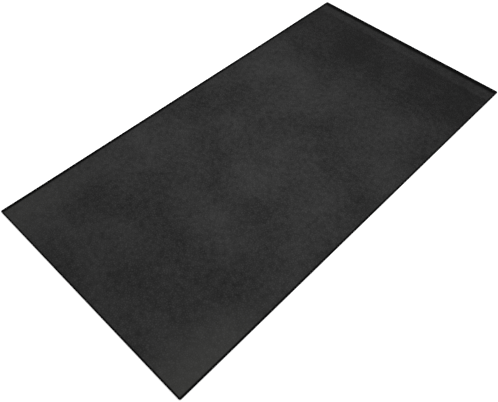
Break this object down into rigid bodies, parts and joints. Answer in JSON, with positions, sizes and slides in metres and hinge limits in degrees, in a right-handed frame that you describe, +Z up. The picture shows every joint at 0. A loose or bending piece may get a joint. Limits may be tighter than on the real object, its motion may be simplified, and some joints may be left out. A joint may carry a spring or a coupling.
{
  "type": "bike trainer floor mat",
  "caption": "Rectangular black foam floor mat that goes under a bicycle on an indoor trainer, to catch sweat and protect the floor.",
  "frame": {"origin": "on the floor, under the middle of the mat", "axes": "+Y along the mat's length, towards the end that is turned up from a soft crease; +X across its width; +Z up from the floor"},
  "size_m": [0.762, 1.524, 0.0052],
  "materials": {
    "pvc_foam": "matte embossed skin"
  },
  "bodies": {
    "root": {"mat": "pvc_foam"}
  },
  "joints": []
}
